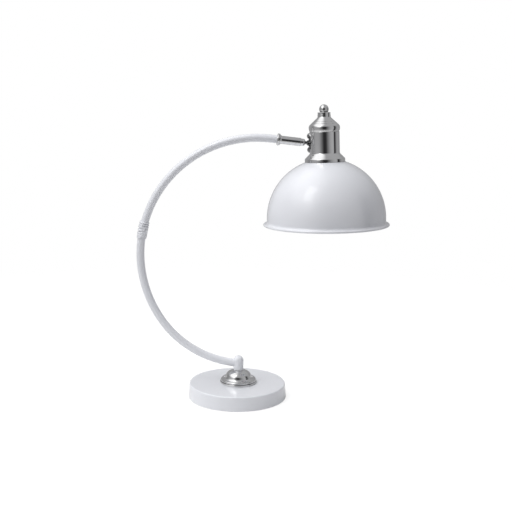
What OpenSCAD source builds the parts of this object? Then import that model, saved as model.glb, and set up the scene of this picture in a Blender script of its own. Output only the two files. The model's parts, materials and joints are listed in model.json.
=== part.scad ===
// Desk lamp with a round weighted base, a C-shaped tube arm in two pieces, and a domed
// shade under a bright cup that tilts on the arm's end.
// Millimetres, +Z up, origin on the table at the centre of the base. The arm lies in
// the plane Y = 0 and the shade hangs towards +X.

/* [Base] */
// Diameter of the base cover at the table
base_d = 160; // [150:1:180]
// Height of the base cover's top face
base_h = 23.1; // [21:0.1:30]
// How far the cover's side leans in from bottom to top
base_lean = 1.5; // [0.5:0.1:3]
// Sheet thickness of the base cover
cover_t = 1.2; // [0.8:0.1:1.6]
// Rounding of the cover's top edge
cover_edge_r = 2; // [1.7:0.1:3]
// Thickness of the soft pad under the base
pad_t = 2.5; // [2:0.1:3.5]
// Height of the cover's lower edge over the table
cover_lift = 0.6; // [0.3:0.1:1]
// Radial gap between the cover's side and the weight
weight_gap = 1.6; // [1:0.1:2.5]
// Radius of the hollow under the weight
hollow_r = 52; // [46:1:58]
// Depth of the hollow under the weight
hollow_h = 9; // [8.5:0.1:10]
// Radius of the bore that the mains cord goes through
cord_bore_r = 3.1; // [2.5:0.1:3.4]

/* [Base dome] */
// Diameter of the bright dome's foot
dome_d = 60; // [54:1:66]
// Height of the bright dome
dome_h = 21.3; // [20.5:0.1:23]
// Sheet thickness of the bright dome
dome_t = 1; // [0.8:0.1:1.4]

/* [Post] */
// How far the post stands from the base's centre, towards the shade
post_x = 1.6; // [0:0.1:5]
// Diameter of the post that holds the arm
post_d = 16.5; // [15.5:0.5:19]
// Height of the post's straight side
post_h = 16.7; // [16.5:0.1:19]
// Height of the arm's centre line over the foot of the post
entry_h = 10.9; // [9.9:0.1:11.1]

/* [Arm] */
// Outside diameter of the arm tube
arm_d = 12.5; // [11.5:0.1:13]
// Wall thickness of the arm tube
arm_t = 1; // [0.8:0.1:1.2]
// Slope of the arm where it leaves the post, in degrees
entry_slope = 3.3; // [2.6:0.1:7]
// Bend radius of the arm's lower arc
lower_r = 165; // [150:1:180]
// Angle that the lower arc turns through
lower_sweep = 52.4; // [45:0.1:56]
// Bend radius of the arm's long arc
upper_r = 188.5; // [175:0.5:200]
// Angle that the long arc turns through
upper_sweep = 130.2; // [124:0.1:134]
// Straight length at the arm's upper end
tail_l = 9; // [6:0.1:14]
// Angle on the long arc, from its lower end, where the two tubes meet
joint_sweep = 46.6; // [40:0.1:60]

/* [Arm wrap] */
// Length of arm that the wrap covers, with its end rings
wrap_l = 27.6; // [24:0.1:32]
// Width of the flat cord that is wrapped round the arm
cord_w = 2.5; // [2:0.1:2.5]
// Thickness of the flat cord
cord_h = 1.7; // [1.4:0.1:1.9]
// Number of turns in the wrap
wrap_turns = 6; // [4:1:6]
// How far each turn leans along the arm, from one side to the other
wrap_lean = 1.1; // [0.5:0.1:1.2]
// Width of the ring at each end of the wrap
end_ring_w = 1.8; // [1.4:0.1:2.2]

/* [Ferrule] */
// Length of the ferrule from its flared face to its nose
ferrule_l = 44.2; // [38:0.1:50]
// Diameter of the ferrule's body
ferrule_d = 12.7; // [11.6:0.1:13.4]
// Diameter of the ferrule's flared rim
flare_d = 18.7; // [16.5:0.1:20.5]
// Length of the narrower stage at the ferrule's nose
nose_l = 6.8; // [5.5:0.1:9]

/* [Knuckle] */
// Distance from the ferrule's nose to the tilt axis
nose_gap = 5.7; // [5.5:0.1:7]
// Outside radius of the knuckle's barrel
barrel_r = 2.7; // [2.6:0.05:2.8]
// Bearing radius in the barrel
barrel_bore_r = 1.5; // [1.3:0.05:1.6]
// Length of the barrel
barrel_l = 8; // [7.4:0.1:9]
// Thickness of each bracket ear
ear_t = 2.2; // [1.8:0.1:2.8]
// Distance from the cup's side to the tilt axis
pivot_off = 1.4; // [1.3:0.05:2.2]
// Height of the tilt axis over the shade's rim
pivot_h = 130.7; // [129.5:0.1:132]
// Lean of the head as it stands in the photograph, in degrees
head_lean = 2.7; // [0:0.1:4]
// Distance from the tilt axis to each bracket screw
screw_off = 10.6; // [10.4:0.1:11.5]
// Diameter of the round bracket screw heads
screw_head_d = 8.4; // [7.6:0.1:9]
// Height of the round bracket screw heads
screw_head_h = 2.4; // [2:0.1:2.8]

/* [Cup] */
// Radius of the cup's straight side
cup_r = 23.5; // [22.5:0.1:23.9]
// Sheet thickness of the cup and its cap
cup_t = 0.9; // [0.7:0.1:1.1]
// Radius of the cup's foot on the shade
foot_r = 31.7; // [30.5:0.1:34]
// Height over the shade's rim at which the cup's straight side starts
side_h = 115.8; // [114:0.1:116]
// Height over the shade's rim of the cup's top
cup_top_h = 147.2; // [146:0.1:150]

/* [Cap and finial] */
// Radius of the cap where it bulges most
cap_r = 24.4; // [24:0.1:26]
// Height of the cap's widest place over the cup's top
cap_bulge_h = 6.3; // [5:0.1:7]
// Radius of the cap's neck
cap_neck_r = 10.2; // [9.5:0.1:11]
// Height of the open collar on the cap
collar_h = 5; // [3.6:0.1:5.6]
// Diameter of the ball on top
ball_d = 15; // [12:0.1:16]
// Gap from the collar's foot to the ball's underside
ball_lift = 2.2; // [2:0.1:4]

/* [Shade] */
// Outside radius of the shade's dome
shade_r = 94.3; // [90:0.1:96]
// Height of the dome's centre over the rim
dome_centre_h = 11.6; // [11:0.1:12.4]
// Sheet thickness of the shade
shade_t = 0.7; // [0.6:0.1:1]
// How far the rolled rim stands out from the shade's side
rim_out = 5.7; // [4.6:0.1:7.5]
// Radius of the roll at the rim
roll_r = 1.8; // [1.5:0.1:2.2]
// How far the shade sits askew on the lampholder, in degrees
shade_skew = 1.4; // [0:0.1:3]

/* [Lampholder and bulb] */
// Outside radius of the lampholder
holder_r = 13.9; // [13.5:0.1:14.3]
// Diameter of the bulb
bulb_d = 45; // [40:1:50]
// Height of the bulb's centre over the shade's rim
bulb_h = 66.6; // [64:0.1:68.5]

/* [Hidden] */
$fn = 96;

// Clearances
fit = 0.05; // between parts that locate each other
slip = 0.1; // between a tube and what slides into it
eps = 0.01; // overlap that joins or cuts cleanly
lap = 0.02; // overlap of one stretch of a sheet's profile with the next

// Colours
white = [0.93, 0.94, 0.96];
bright = [0.75, 0.75, 0.77];
zinc = [0.62, 0.63, 0.65];
brass = [0.8, 0.66, 0.33];

// Base, derived
base_r = base_d / 2;
base_top_r = base_r - base_lean;
weight_r = base_top_r - cover_t - weight_gap + 0.2;
cover_in_h = base_h - cover_t;
hollow_top = pad_t + hollow_h;
gland_h = 8;
gland_neck_r = cord_bore_r + 1;
gland_rim_r = gland_neck_r + 1.5;
gland_rim_t = 1.6;
channel_w = 2 * gland_rim_r + 1;
nipple_r = 5;
nipple_bore_r = 3.5;
nipple_h = 5.5;
nut_h = 4;
nut_af = 14;
washer_t = 1.5;
washer_r = 11;

// Post and arm, derived
post_z = base_h + dome_h;
post_r = post_d / 2;
arm_r = arm_d / 2;
arm_bore_r = arm_r - arm_t;
entry_z = post_z + entry_h;
entry_a = 270 - entry_slope;
split_a = entry_a - lower_sweep;
joint_a = split_a - joint_sweep;
end_a = split_a - upper_sweep;
lower_c = [post_x + lower_r * sin(entry_slope), entry_z + lower_r * cos(entry_slope)];
upper_c = lower_c + (lower_r - upper_r) * [cos(split_a), sin(split_a)];
tail_dir = [sin(end_a), -cos(end_a)];
tail_start = upper_c + upper_r * [cos(end_a), sin(end_a)];
tail_end = tail_start + tail_l * tail_dir;
tail_slope = 90 - end_a;
tube_inset = 1.5; // from the post's axis to the tube's end
nipple_top = post_z + 4.5;
passage_r = 3.6;

// Wrap, derived
wrap_span = wrap_l - 2 * end_ring_w - cord_w - 2 * slip;
wrap_r = arm_r + slip + cord_h / 2;
wrap_pitch = (wrap_span - wrap_lean) / wrap_turns;
lean_drift = 35; // turn of the lean's high side from one loop to the next, in degrees
RINGS = 24; // rings of the cord's tube in each turn
SIDES = 6;
WIRE_SIDES = 8;
ring_deg = 180 / PI / upper_r; // degrees on the long arc for a millimetre along it

// Wires, derived
lead_r = 0.8;
lead_off = 0.9;
lead_bend = 9; // bend of the wires from the post into the arm
lead_foot_bend = 4; // bend of the wires under the nipple
lead_z = pad_t + lead_r + 0.3;
lead_turn_x = lower_c[0] - post_x + lead_bend;
lead_rise = lower_c[1] - sqrt(pow(lower_r + lead_bend, 2) - pow(lead_turn_x, 2));
lead_turn = atan2(lower_c[1] - lead_rise, lead_turn_x);
block_x = post_x + 13;
block_l = 21;
block_w = 13;
block_h = 8;

// Ferrule and knuckle, derived
ferrule_r = ferrule_d / 2;
flare_r = flare_d / 2;
flare_roll_r = 1.9;
flare_cove_end = 8;
spigot_l = 12;
stem_r = 2.5;
stem_bore_r = 1.85;
nose_socket_r = 3.4;
nose_socket_l = 7;
nose_round = 3.4;
nose_step = 0.8; // how far the nose is drawn in
step_round = 0.5; // of the ferrule's edge over its nose
ear_gap = barrel_l + 0.6;
ear_half = 4.1; // half the height of the bracket's ears
ear_round = 2.4;
ear_reach = barrel_r + 0.2; // from the tilt axis to the front of the ears
ear_out = ear_gap / 2 + ear_t;
window_h = 2 * (barrel_r + 1.5); // of the opening for the barrel in bracket and cup
trunnion_r = barrel_bore_r - fit;
trunnion_head_r = cup_r + pivot_off - sqrt(pow(cup_r, 2) - pow(ear_out, 2)) - slip;
trunnion_head_t = 1.2;
trunnion_tip = 1.9;
plate_t = 1.6;
plate_w = 13;
screw_r = 1.5;
pivot = tail_end + (ferrule_l + nose_gap) * tail_dir;

// Cup and cap, derived, as heights over the shade's rim
foot_seat_h = dome_centre_h + sqrt(pow(shade_r, 2) - pow(foot_r - cup_t, 2)) + fit;
cove_r = 5;
foot_round = 2.2;
slope_c = cos(45);
cove_x = cup_r + cove_r;
slope_sum = cove_x + side_h - 2 * cove_r * slope_c;
foot_round_h = slope_sum - (foot_r - foot_round) - foot_round / slope_c;
cap_round = 7.3;
cap_under = 13;
cap_slope = 42;
cap_x = cap_r - cap_round;
cap_h = cup_top_h + cap_bulge_h;
cap_cove = 4;
cap_p = [cap_x + cap_round * sin(cap_slope), cap_h + cap_round * cos(cap_slope)];
cap_cove_x = cap_neck_r + cap_cove;
cap_cove_h = cap_p[1] + (cap_cove - (cap_cove_x - cap_p[0]) * sin(cap_slope)) / cos(cap_slope);
cap_top_h = cap_cove_h + cup_t;
collar_floor_t = 1.2;
ball_r = ball_d / 2;
ball_h = cap_top_h + ball_lift + ball_r;
rod_r = 3;
rod_top_h = ball_h - 3.3;
rod_grip = 5; // how far the rod reaches into the lampholder's cap

// Shade and lampholder, derived
shade_hole_r = holder_r + 0.7;
roll_c = shade_r + rim_out - roll_r;
flare_end_a = 256; // where the flare runs into the roll, on the flare's arc
flare_arc_r = to_tenth((rim_out - roll_r) / (1 + cos(flare_end_a)));
flare_h = to_tenth(1.45 * roll_r - flare_arc_r * sin(flare_end_a));
shade_in_r = shade_r - shade_t;
shoulder_r = holder_r + 3.6;
shoulder_h = dome_centre_h + sqrt(pow(shade_r, 2) - pow(shade_hole_r, 2)) + 0.1;
shade_ring_r = holder_r + 5.6;
shade_ring_h = dome_centre_h + sqrt(pow(shade_in_r, 2) - pow(shade_ring_r, 2)) - fit;
holder_foot_h = 92.6;
holder_split_h = 118.6;
holder_round_h = 130.6;
holder_top_h = 139.2;
holder_bore_r = holder_r - 1.9;
holder_wall = 1.7; // of the holder's cap
lead_hole_h = 123.6; // of the hole that the wires go through into the holder's cap
shell_r = 8;
bulb_cap_r = 6.95;
bulb_cap_foot = 94.6;
bulb_cap_top = 110.2;
bulb_neck_h = bulb_cap_foot - 1;
bulb_neck_r = bulb_cap_r - 0.2;
thread_turns = 4;
thread_pitch = 2.82;
bulb_r = bulb_d / 2;
bulb_wall = 0.9;
core_floor_h = 112.6;

// A length rounded to a tenth, so that arcs end exactly where their neighbours start
function to_tenth(v) = round(10 * v) / 10;

// Two-dimensional helpers

// A wedge of the plane from angle a0 to angle a1, less than 180 degrees, out to radius r
module wedge(r, a0, a1) {
  am = (a0 + a1) / 2;
  far = 1.1 * r / cos((a1 - a0) / 4);
  polygon([[0, 0], far * [cos(a0), sin(a0)], far * [cos(am), sin(am)] * 1.02,
           far * [cos(a1), sin(a1)]]);
}

// A band of sheet that follows an arc about c, from radius r0 to r1
module arc_band(c, r0, r1, a0, a1) {
  translate(c)
    intersection() {
      difference() {
        circle(r = r1);
        circle(r = r0);
      }
      wedge(r1, a0, a1);
    }
}

// Three-dimensional helpers

// The triangles of a tube of n stretches between rings of equal sides, with its ends
function tube_faces(n, sides) = concat(
  [for (i = [0:n - 1], k = [0:sides - 1])
    let (a = i * sides + k, b = i * sides + (k + 1) % sides)
    [a, a + sides, b]],
  [for (i = [0:n - 1], k = [0:sides - 1])
    let (a = i * sides + k, b = i * sides + (k + 1) % sides)
    [b, a + sides, b + sides]],
  [for (k = [1:sides - 2]) [0, k, k + 1]],
  [for (k = [1:sides - 2]) let (a = n * sides) [a, a + k + 1, a + k]]
);

// Carries what is drawn about an upright axis onto the line through a point of the
// arm's plane, where dir is the direction of the line
module along(p, dir) {
  translate([p[0], 0, p[1]])
    rotate([0, atan2(dir[0], dir[1]), 0])
      children();
}

// Sweeps a section along an arc in the arm's plane. The section is drawn with the
// centre line at its origin, its second axis across the plane
module arm_arc(c, r, a0, a1) {
  translate([c[0], 0, c[1]])
    rotate([90, 0, 0])
      rotate([0, 0, min(a0, a1)])
        rotate_extrude(angle = abs(a1 - a0))
          translate([r, 0])
            children();
}

// Carries what follows onto a bend's centre line at angle a: its first axis points away
// from the bend's centre and its second along the arm, the way that angles grow
module on_bend(c, r, a) {
  translate([c[0] + r * cos(a), 0, c[1] + r * sin(a)])
    rotate([90, 0, 0])
      rotate([0, 0, a])
        children();
}

// A bend of a section that starts there and turns through angle sweep, either way
module bend(r, sweep) {
  mirror([0, sweep < 0 ? 1 : 0, 0])
    translate([-r, 0, 0])
      rotate_extrude(angle = abs(sweep))
        translate([r, 0])
          children();
}

module tube_section(ro, ri) {
  difference() {
    circle(r = ro);
    circle(r = ri);
  }
}

module wire_pair() {
  for (s = [-1, 1])
    translate([0, s * lead_off])
      circle(r = lead_r);
}

module hex_prism(af, h) {
  cylinder(r = af / 2 / cos(30), h = h, $fn = 6);
}

// Places what stands on the post's axis
module at_post() {
  translate([post_x, 0, 0])
    children();
}

// Places the head's parts, which are drawn about Z with the shade's rim at height 0
module head() {
  translate([pivot[0], 0, pivot[1]])
    rotate([0, -head_lean, 0])
      translate([cup_r + pivot_off, 0, -pivot_h])
        children();
}

// Places what is drawn about the tilt axis, in the head's own directions
module at_pivot() {
  translate([-cup_r - pivot_off, 0, pivot_h])
    children();
}

// Base

module base_pad() {
  color([0.16, 0.16, 0.17])
    cylinder(r = base_r - cover_t - 1, h = pad_t);
}

module base_weight() {
  color([0.3, 0.3, 0.32])
    difference() {
      translate([0, 0, pad_t])
        cylinder(r = weight_r, h = cover_in_h - pad_t);
      translate([0, 0, pad_t - 1])
        cylinder(r = hollow_r, h = hollow_h + 1);
      translate([post_x, 0, pad_t])
        cylinder(r = nipple_r + 0.4, h = base_h);
      translate([-channel_w / 2, 0, pad_t - 1])
        cube([channel_w, base_r, gland_h + gland_rim_r + 1.5 - pad_t]);
    }
}

// Half section of the cover: a drafted side, a rounded edge and a flat top
module cover_section() {
  side = base_top_r - cover_edge_r;
  top = base_h - cover_edge_r;
  polygon([[base_r - cover_t, cover_lift], [base_r, cover_lift], [base_top_r, top],
           [base_top_r - cover_t, top]]);
  arc_band([side, top], cover_edge_r - cover_t, cover_edge_r, 0, 90);
  translate([0, cover_in_h])
    square([side, cover_t]);
}

module base_cover() {
  color(white)
    difference() {
      rotate_extrude()
        cover_section();
      translate([post_x, 0, cover_in_h - 1])
        cylinder(r = nipple_r + 0.3, h = cover_t + 2);
      translate([0, base_r + 5, gland_h])
        rotate([90, 0, 0])
          cylinder(r = gland_neck_r + fit, h = 15);
    }
}

// A snap-in bush in the cover's back, through which a mains cord would enter
module cord_gland() {
  wall_y = base_r - base_lean * gland_h / base_h;
  back_y = wall_y - cover_t - 0.5;
  inner_l = 4;
  color([0.9, 0.9, 0.9])
    translate([0, back_y - inner_l, gland_h])
      rotate([-90, 0, 0])
        difference() {
          union() {
            cylinder(r = gland_neck_r, h = inner_l + cover_t + 1);
            cylinder(r1 = gland_neck_r, r2 = gland_neck_r + 0.6, h = inner_l - 0.2);
            translate([0, 0, inner_l + cover_t + 1])
              cylinder(r1 = gland_rim_r, r2 = gland_rim_r - 0.8, h = gland_rim_t);
          }
          translate([0, 0, -1])
            cylinder(r = cord_bore_r, h = inner_l + cover_t + gland_rim_t + 4);
        }
}

module terminal_block() {
  pad_gap = 0.1;
  color([0.86, 0.87, 0.84])
    translate([block_x, -block_w / 2, pad_t + pad_gap])
      difference() {
        cube([block_l, block_w, block_h]);
        for (s = [-1, 1]) {
          translate([5.5, block_w / 2 + s * 3.3, 3.8])
            cylinder(r = 1.9, h = block_h);
          translate([15.5, block_w / 2 + s * 3.3, 3.8])
            cylinder(r = 1.9, h = block_h);
          translate([-1, block_w / 2 - 0.8, 4.6])
            cube([block_l + 2, 1.6, block_h]);
        }
      }
}

module terminal_screws() {
  color(brass)
    for (s = [-1, 1], x = [5.5, 15.5])
      translate([block_x + x, s * 3.3, pad_t + 3.95])
        difference() {
          cylinder(r = 1.75, h = 2.6);
          translate([-2, -0.3, 1.9])
            cube([4, 0.6, 1]);
        }
}

module base_nipple() {
  color(zinc)
    at_post() translate([0, 0, nipple_h])
      difference() {
        cylinder(r = nipple_r, h = nipple_top - nipple_h);
        translate([0, 0, -1])
          cylinder(r = nipple_bore_r, h = nipple_top);
      }
}

module base_washer() {
  color(zinc)
    at_post() translate([0, 0, hollow_top - washer_t])
      difference() {
        cylinder(r = washer_r, h = washer_t);
        translate([0, 0, -1])
          cylinder(r = nipple_r + 0.2, h = washer_t + 2);
      }
}

module base_nut() {
  color(zinc)
    at_post() translate([0, 0, hollow_top - washer_t - nut_h])
      difference() {
        intersection() {
          hex_prism(nut_af, nut_h);
          cylinder(r1 = nut_af / 2 + 0.2, r2 = nut_af / 2 + 1.6, h = nut_h + eps);
        }
        translate([0, 0, -1])
          cylinder(r = nipple_r + fit, h = nut_h + 2);
      }
}

// Half section of the bright dome over the base: a stepped foot, a cove, a round
// shoulder and a flat crown under the post
module dome_section() {
  foot = dome_d / 2;
  step_h = 2.8;
  ring_r = 2.1;
  ring_x = foot - 1.1 - ring_r;
  ring_z = step_h + 2;
  shoulder_r = 10.5;
  shoulder_x = 11;
  shoulder_z = 8.9;
  shoulder_a = 60;
  crown_r = shoulder_r + shoulder_x / cos(shoulder_a);
  crown_z = shoulder_z - shoulder_x * tan(shoulder_a);
  difference() {
    union() {
      // foot disc with a rounded edge
      square([foot - 0.9, step_h]);
      translate([0, 0.9])
        square([foot, step_h - 1.8]);
      for (z = [0.9, step_h - 0.9])
        translate([foot - 0.9, z])
          circle(r = 0.9);
      // rounded ring over the step
      translate([0, step_h - eps])
        square([ring_x, ring_z + ring_r - step_h + eps]);
      translate([ring_x, ring_z])
        circle(r = ring_r);
      // cove up to the shoulder
      difference() {
        translate([0, step_h])
          square([ring_x, shoulder_z + 2.2 - step_h]);
        translate([ring_x + 0.2, shoulder_z + 3.1])
          circle(r = 5.1);
      }
      // shoulder and crown
      translate([0, step_h])
        square([shoulder_x + shoulder_r, shoulder_z - step_h]);
      translate([shoulder_x, shoulder_z])
        circle(r = shoulder_r);
      intersection() {
        translate([0, crown_z])
          circle(r = crown_r);
        square([shoulder_x + shoulder_r * cos(shoulder_a), dome_h + 10]);
      }
    }
    // the hollow inside
    translate([-1, -1])
      square([foot - 2.4, step_h + 0.4]);
    translate([-1, 0])
      square([shoulder_x + shoulder_r - dome_t + 1, shoulder_z]);
    intersection() {
      translate([shoulder_x, shoulder_z])
        circle(r = shoulder_r - dome_t);
      translate([shoulder_x - 0.1, 0])
        square(30);
    }
    intersection() {
      translate([0, crown_z])
        circle(r = crown_r - dome_t);
      translate([0, shoulder_z - 0.1])
        square([shoulder_x + 4, dome_h - dome_t - 0.6 - shoulder_z]);
    }
    // the centre hole and the flat crown
    square([nipple_r + 0.2, 60]);
    translate([-1, dome_h])
      square([40, 20]);
    translate([-40, -1])
      square([40, 60]);
    translate([-1, -20])
      square([60, 20]);
  }
}

module base_dome() {
  color(bright)
    at_post() translate([0, 0, base_h])
      rotate_extrude()
        dome_section();
}

// Post and arm

module arm_post() {
  cap_h = 7;
  cap_r2 = (post_r * post_r + cap_h * cap_h) / 2 / cap_h;
  edge = 0.5;
  color(white)
    difference() {
      at_post() {
        translate([0, 0, post_z])
          cylinder(r1 = post_r - edge, r2 = post_r, h = edge);
        translate([0, 0, post_z + edge])
          cylinder(r = post_r, h = post_h - edge);
        translate([0, 0, post_z + post_h])
          intersection() {
            cylinder(r = post_r, h = cap_h + 1);
            translate([0, 0, cap_h - cap_r2])
              sphere(r = cap_r2);
          }
      }
      arm_arc(lower_c, lower_r, entry_a - tube_inset * 180 / PI / lower_r, entry_a - 12)
        circle(r = arm_r + fit);
      translate([post_x, 0, post_z - 1])
        cylinder(r = nipple_r + fit, h = nipple_top - post_z + 1.3);
      translate([post_x, 0, post_z])
        cylinder(r = passage_r, h = entry_h + 2.6);
    }
}

module lower_arm() {
  start_a = entry_a - (tube_inset + fit) * 180 / PI / lower_r;
  color(white)
    on_bend(upper_c, upper_r, split_a) {
      bend(lower_r, start_a - split_a)
        tube_section(arm_r, arm_bore_r);
      bend(upper_r, joint_a - split_a)
        tube_section(arm_r, arm_bore_r);
    }
}

module upper_arm() {
  color(white)
    on_bend(upper_c, upper_r, end_a) {
      bend(upper_r, joint_a - end_a)
        tube_section(arm_r, arm_bore_r);
      rotate([90, 0, 0])
        linear_extrude(height = tail_l)
          tube_section(arm_r, arm_bore_r);
    }
}

// A sleeve inside the two tubes where they meet
module joint_spigot() {
  half = 20 * ring_deg;
  color(zinc)
    arm_arc(upper_c, upper_r, joint_a - half, joint_a + half)
      tube_section(arm_bore_r - fit, arm_bore_r - 1);
}

// The ring at each end of the wrap, with rounded shoulders
module wrap_rings() {
  ring_r = wrap_r + cord_h / 2 - 0.3;
  color(white)
    for (s = [-1, 1]) {
      a = joint_a + s * (wrap_l / 2 - end_ring_w / 2) * ring_deg;
      along(upper_c + upper_r * [cos(a), sin(a)], [sin(a), -cos(a)])
        rotate_extrude()
          difference() {
            translate([arm_r + slip, -end_ring_w / 2])
              square([ring_r - arm_r - slip, end_ring_w]);
            difference() {
              translate([ring_r - 0.6, -end_ring_w])
                square([1, 2 * end_ring_w]);
              translate([ring_r - end_ring_w / 2, 0])
                circle(r = end_ring_w / 2 + 0.02);
              translate([ring_r - 1, -end_ring_w / 2 + 0.6])
                square([1, end_ring_w - 1.2]);
            }
          }
    }
}

function unit(v) = v / norm(v);

// The wrap: one cord wound round the arm over the joint. u runs from 0 to the number
// of turns. Each turn leans, and the lean's high side drifts round from turn to turn.
function wrap_s(u) = -wrap_span / 2 + wrap_lean / 2 + wrap_pitch * u
  + wrap_lean / 2 * sin((360 + lean_drift) * u + 70);
function wrap_point(u) =
  let (s = wrap_s(u), a = joint_a - s * ring_deg, t = 360 * u,
       out = upper_r + wrap_r * cos(t))
  [upper_c[0] + out * cos(a), wrap_r * sin(t), upper_c[1] + out * sin(a)];
function wrap_dir(u) = unit(wrap_point(u + 0.004) - wrap_point(u - 0.004));
function wrap_out(u) =
  let (s = wrap_s(u), a = joint_a - s * ring_deg,
       c = [upper_c[0] + upper_r * cos(a), 0, upper_c[1] + upper_r * sin(a)],
       d = wrap_dir(u), o = wrap_point(u) - c)
  unit(o - (o * d) * d);
wrap_n = wrap_turns * RINGS;
wrap_points = [
  for (i = [0:wrap_n], k = [0:SIDES - 1])
    let (u = i / RINGS, o = wrap_out(u), b = cross(wrap_dir(u), o),
         t = 360 * (k + 0.5) / SIDES)
    wrap_point(u) + cord_h / 2 * cos(t) / cos(30) * o + cord_w / 2 * sin(t) * b
];
// Least gap of the cord to itself, measured between centre points a turn apart
wrap_gap = min([
  for (i = [0:wrap_n], j = [i + RINGS - 6:min(i + RINGS + 6, wrap_n)])
    norm(wrap_point(i / RINGS) - wrap_point(j / RINGS))
]) - cord_w;

module joint_wrap() {
  echo(wrap_gap = wrap_gap);
  color(white)
    polyhedron(points = wrap_points, faces = tube_faces(wrap_n, SIDES));
}

// The two wires from the terminal block through the post and the arm to the knuckle.
// Their route lies in the arm's plane, and each wire keeps to its own side of it
function bend_points(c, r, a0, a1, n) =
  [for (i = [1:n]) let (a = a0 + (a1 - a0) * i / n) c + r * [cos(a), sin(a)]];
wire_route = concat(
  [[block_x - fit, lead_z], [post_x + lead_foot_bend, lead_z]],
  bend_points([post_x + lead_foot_bend, lead_z + lead_foot_bend], lead_foot_bend, 270, 180, 5),
  [[post_x, lead_rise]],
  bend_points([post_x - lead_bend, lead_rise], lead_bend, 0, lead_turn, 7),
  bend_points(lower_c, lower_r, lead_turn + 180, split_a, 10),
  bend_points(upper_c, upper_r, split_a, end_a, 24),
  [tail_end + (ferrule_l + nose_gap - 1) * tail_dir]
);
wire_last = len(wire_route) - 1;
function wire_ring(i, off) =
  let (d = unit(wire_route[min(i + 1, wire_last)] - wire_route[max(i - 1, 0)]),
       p = wire_route[i])
  [for (k = [0:WIRE_SIDES - 1])
    let (t = 360 * k / WIRE_SIDES, out = lead_r * cos(t))
    [p[0] + out * d[1], off + lead_r * sin(t), p[1] - out * d[0]]];

module arm_wires() {
  color([0.45, 0.3, 0.2])
    for (s = [-1, 1])
      polyhedron(
        points = [for (i = [0:wire_last]) each wire_ring(i, s * lead_off)],
        faces = tube_faces(wire_last, WIRE_SIDES));
}

// Half section of the ferrule, drawn about its axis with its flared face at 0
module ferrule_section() {
  cove = flare_cove_end - 2 * flare_roll_r;
  step = ferrule_l - nose_l;
  nose = ferrule_l - nose_round;
  nose_r = ferrule_r - nose_step;
  difference() {
    union() {
      translate([0, -spigot_l])
        square([arm_bore_r - slip, spigot_l + eps]);
      square([flare_r - flare_roll_r, 2 * flare_roll_r]);
      translate([flare_r - flare_roll_r, flare_roll_r])
        circle(r = flare_roll_r);
      square([ferrule_r, step - step_round]);
      translate([ferrule_r - step_round, step - step_round])
        circle(r = step_round);
      square([nose_r, nose]);
      square([nose_r - nose_round, ferrule_l]);
      translate([nose_r - nose_round, nose])
        circle(r = nose_round);
      difference() {
        translate([0, 2 * flare_roll_r - 0.4])
          square([ferrule_r + 0.6 * cove, cove + 0.4]);
        translate([ferrule_r + cove, flare_cove_end])
          circle(r = cove);
      }
    }
    translate([-1, -spigot_l - 1])
      square([1, ferrule_l + spigot_l + 2]);
    translate([-20, -spigot_l - 1])
      square([20 + stem_bore_r + 0.3, ferrule_l + spigot_l + 2]);
    translate([-20, ferrule_l - nose_socket_l])
      square([20 + nose_socket_r, nose_socket_l + 1]);
  }
}

module end_ferrule() {
  color(bright)
    along(tail_end, tail_dir)
      rotate_extrude()
        ferrule_section();
}

// The arm's half of the tilt joint: a stem in the ferrule's nose and a hollow
// cross barrel, open on the cup's side so that the wires can turn with the head
module knuckle() {
  socket_gap = 0.2;
  window = 2 * (lead_off + lead_r) + 0.6;
  color(bright)
    along(tail_end + ferrule_l * tail_dir, tail_dir)
      difference() {
        union() {
          translate([0, 0, socket_gap - nose_socket_l])
            cylinder(r = nose_socket_r - fit, h = nose_socket_l - socket_gap);
          translate([0, 0, -eps])
            cylinder(r = stem_r, h = nose_gap);
          translate([0, barrel_l / 2, nose_gap])
            rotate([90, 0, 0])
              cylinder(r = barrel_r, h = barrel_l);
        }
        translate([0, 0, -nose_socket_l])
          cylinder(r = stem_bore_r, h = nose_socket_l + nose_gap);
        translate([0, barrel_l, nose_gap])
          rotate([90, 0, 0])
            cylinder(r = barrel_bore_r, h = 2 * barrel_l);
        translate([-barrel_r - 1, -window / 2, nose_gap])
          cube([2 * barrel_r + 2, window, barrel_r + 1]);
      }
}

// Tilting head

// The opening that the barrel turns in, through the saddle plate and the cup's side
module barrel_window() {
  at_pivot()
    translate([-10, -ear_gap / 2, -window_h / 2])
      cube([20, ear_gap, window_h]);
}

// Side view of an ear: it reaches from the cup past the tilt axis, with round corners
module ear_outline() {
  edge = ear_half - ear_round;
  front = ear_round - ear_reach;
  for (s = [-1, 1])
    translate([front, s * edge])
      circle(r = ear_round);
  translate([-ear_reach, -edge])
    square([ear_reach + pivot_off + 1, 2 * edge]);
  translate([front, -ear_half])
    square([pivot_off + 1 - front, 2 * ear_half]);
}

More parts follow.
